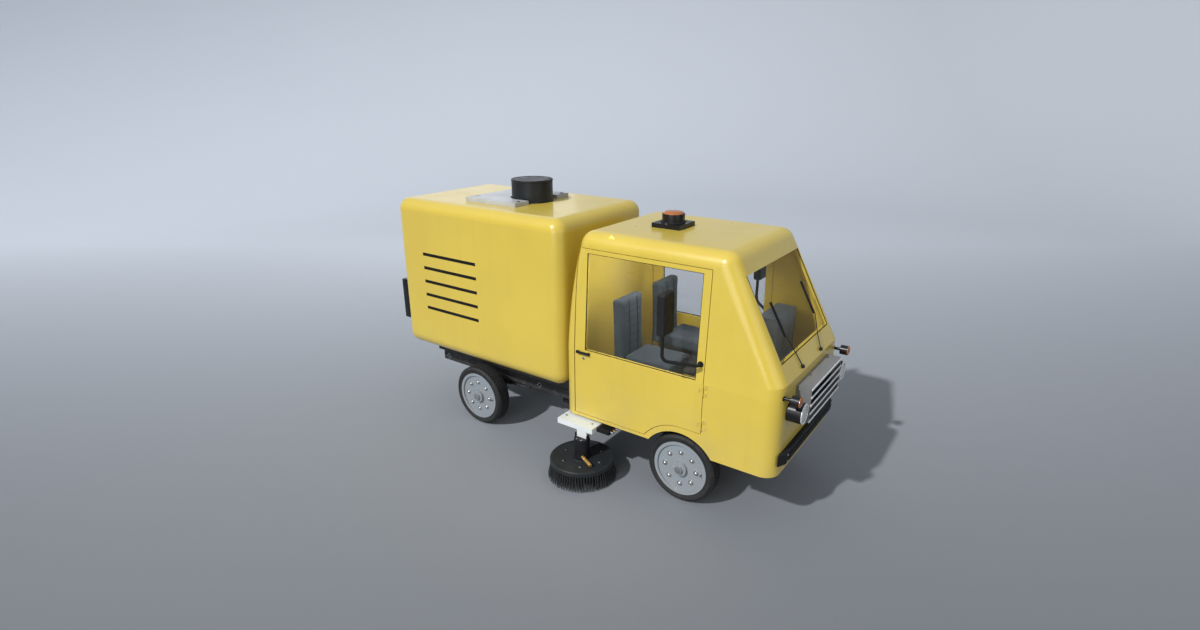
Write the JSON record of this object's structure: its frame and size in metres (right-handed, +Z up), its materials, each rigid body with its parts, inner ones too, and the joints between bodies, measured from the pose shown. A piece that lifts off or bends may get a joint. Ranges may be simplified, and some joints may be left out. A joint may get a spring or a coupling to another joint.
{
  "type": "street sweeper truck",
  "caption": "Compact street sweeper truck with a forward cab, tipping waste hopper, roof hatch, side brushes and suction nozzle.",
  "frame": {"origin": "on the ground, at the middle of the overall length and width", "axes": "+X points forward, +Y to the vehicle's left and +Z up"},
  "size_m": [4.79, 2.47, 2.7249],
  "materials": {
    "cab_paint": "semi-gloss yellow paint",
    "cab_floor_paint": "worn yellow-beige floor coating",
    "hopper_paint": "semi-gloss yellow paint",
    "hatch_paint": "satin silver-grey paint",
    "stack_paint": "satin black paint",
    "black_trim": "fine-grained black",
    "lamp_black": "glossy black",
    "tail_lamp": "black housing with dark red lenses",
    "grille_paint": "satin dark grey",
    "grille_bright": "bright",
    "clear_glass": "lightly tinted",
    "lens_clear": "ribbed clear lens",
    "lens_amber": "amber lens",
    "chassis_paint": "matte black chassis paint",
    "ram_steel": "ground bright",
    "cast_metal": "cast",
    "suction_paint": "worn dark grey",
    "tyre_rubber": "dusty black",
    "rim_metal": "silver-grey wheel paint",
    "arm_paint": "off-white paint",
    "motor_paint": "satin black",
    "brush_bristle": "dull bristle",
    "console_plastic": "grained grey",
    "wheel_plastic": "soft black",
    "seat_fabric": "woven dark grey",
    "seat_base_paint": "matte black"
  },
  "bodies": {
    "chassis": {"amber_lenses": "lens_amber", "bumper": "black_trim", "cab_floor": "cab_floor_paint", "cab_front": "cab_paint", "cab_rear_wall": "cab_paint", "cab_roof": "cab_paint", "cab_sides": "cab_paint", "dashboard": "console_plastic", "engine_block": "cast_metal", "frame_crossmembers": "chassis_paint", "frame_rails": "chassis_paint", "front_axle": "chassis_paint", "grille_bars": "grille_bright", "grille_box": "grille_paint", "headlamp_lenses": "lens_clear", "hopper_subframe": "chassis_paint", "lamp_housings": "lamp_black", "leaf_springs": "chassis_paint", "rear_axle": "chassis_paint", "seat_bases": "seat_base_paint", "seats": "seat_fabric", "steering_wheel": "wheel_plastic", "suction_head": "suction_paint", "windscreen": "clear_glass", "wipers": "black_trim"},
    "hopper": {"hopper_floor": "hopper_paint", "hopper_roof": "hopper_paint", "hopper_front_wall": "hopper_paint", "hopper_rear_frame": "hopper_paint", "hopper_sides": "hopper_paint", "hopper_louvres": "black_trim", "fan_stack": "stack_paint", "tail_lamps": "tail_lamp"},
    "hatch": {"hatch_lid": "hatch_paint"},
    "tailgate": {"tailgate": "hopper_paint"},
    "track_rod": {"track_rod": "chassis_paint"},
    "ram_barrel": {"ram_barrel": "chassis_paint"},
    "ram_rod": {"ram_rod": "ram_steel"},
    "knuckle_right": {"knuckle_right": "chassis_paint"},
    "door_right": {"door_right": "cab_paint", "door_glass_right": "clear_glass", "door_fittings_right": "black_trim"},
    "brush_arm_right": {"brush_arm_right": "arm_paint", "brush_motor_right": "motor_paint"},
    "brush_right": {"brush_right": "brush_bristle"},
    "wheel_front_right": {"tyre_front_right": "tyre_rubber", "rim_front_right": "rim_metal"},
    "wheel_rear_right": {"tyre_rear_right": "tyre_rubber", "rim_rear_right": "rim_metal"},
    "knuckle_left": {"knuckle_left": "chassis_paint"},
    "door_left": {"door_left": "cab_paint", "door_glass_left": "clear_glass", "door_fittings_left": "black_trim"},
    "brush_arm_left": {"brush_arm_left": "arm_paint", "brush_motor_left": "motor_paint"},
    "brush_left": {"brush_left": "brush_bristle"},
    "wheel_front_left": {"tyre_front_left": "tyre_rubber", "rim_front_left": "rim_metal"},
    "wheel_rear_left": {"tyre_rear_left": "tyre_rubber", "rim_rear_left": "rim_metal"}
  },
  "joints": [
    {"name": "steer_right", "type": "hinge", "parent": "chassis", "child": "knuckle_right", "pos_m": [1.363, -0.535, 0.34], "axis": [0, 0, 1], "range_deg": [-30, 30]},
    {"name": "steer_left", "type": "hinge", "parent": "chassis", "child": "knuckle_left", "pos_m": [1.363, 0.535, 0.34], "axis": [0, 0, 1], "range_deg": [-30, 30]},
    {"name": "track_rod_pivot", "type": "hinge", "parent": "knuckle_right", "child": "track_rod", "pos_m": [1.233, -0.535, 0.31], "axis": [0, 0, 1], "range_deg": [-30, 30]},
    {"name": "spin_front_right", "type": "hinge", "parent": "knuckle_right", "child": "wheel_front_right", "pos_m": [1.363, -0.638, 0.34], "axis": [0, 1, 0], "continuous": true},
    {"name": "spin_rear_right", "type": "hinge", "parent": "chassis", "child": "wheel_rear_right", "pos_m": [-1.233, -0.638, 0.34], "axis": [0, 1, 0], "continuous": true},
    {"name": "spin_front_left", "type": "hinge", "parent": "knuckle_left", "child": "wheel_front_left", "pos_m": [1.363, 0.638, 0.34], "axis": [0, 1, 0], "continuous": true},
    {"name": "spin_rear_left", "type": "hinge", "parent": "chassis", "child": "wheel_rear_left", "pos_m": [-1.233, 0.638, 0.34], "axis": [0, 1, 0], "continuous": true},
    {"name": "door_swing_right", "type": "hinge", "parent": "chassis", "child": "door_right", "pos_m": [1.572, -0.77, 1.2], "axis": [0, 0, 1], "range_deg": [0, 70]},
    {"name": "door_swing_left", "type": "hinge", "parent": "chassis", "child": "door_left", "pos_m": [1.572, 0.77, 1.2], "axis": [0, 0, -1], "range_deg": [0, 70]},
    {"name": "hopper_tip", "type": "hinge", "parent": "chassis", "child": "hopper", "pos_m": [-2.095, 0, 0.725], "axis": [0, -1, 0], "range_deg": [0, 50]},
    {"name": "tailgate_swing", "type": "hinge", "parent": "hopper", "child": "tailgate", "pos_m": [-2.345, 0, 2.307], "axis": [0, 1, 0], "range_deg": [0, 80]},
    {"name": "hatch_swing", "type": "hinge", "parent": "hopper", "child": "hatch", "pos_m": [-1.526, 0, 2.502], "axis": [0, -1, 0], "range_deg": [0, 100]},
    {"name": "ram_turn", "type": "hinge", "parent": "chassis", "child": "ram_barrel", "pos_m": [-1.85, 0, 0.46], "axis": [0, -1, 0], "range_deg": [0, 43.64]},
    {"name": "ram_slide", "type": "slide", "parent": "ram_barrel", "child": "ram_rod", "axis": [0.8239, 0, 0.5667], "range_m": [0, 0.297]},
    {"name": "brush_swing_right", "type": "hinge", "parent": "chassis", "child": "brush_arm_right", "pos_m": [0.265, -0.42, 0.514], "axis": [0, 0, 1], "range_deg": [-10, 10]},
    {"name": "brush_spin_right", "type": "hinge", "parent": "brush_arm_right", "child": "brush_right", "pos_m": [0.365, -0.885, 0.18], "axis": [0, 0, 1], "continuous": true},
    {"name": "brush_swing_left", "type": "hinge", "parent": "chassis", "child": "brush_arm_left", "pos_m": [0.265, 0.42, 0.514], "axis": [0, 0, -1], "range_deg": [-10, 10]},
    {"name": "brush_spin_left", "type": "hinge", "parent": "brush_arm_left", "child": "brush_left", "pos_m": [0.365, 0.885, 0.18], "axis": [0, 0, 1], "continuous": true}
  ],
  "couplings": [
    {"joint": "steer_left", "follows": "steer_right", "ratio": 1},
    {"joint": "track_rod_pivot", "follows": "steer_right", "ratio": -1},
    {"joint": "ram_turn", "follows": "hopper_tip", "ratio": 0.87284},
    {"joint": "ram_slide", "follows": "hopper_tip", "m_per_rad": 0.3403}
  ]
}
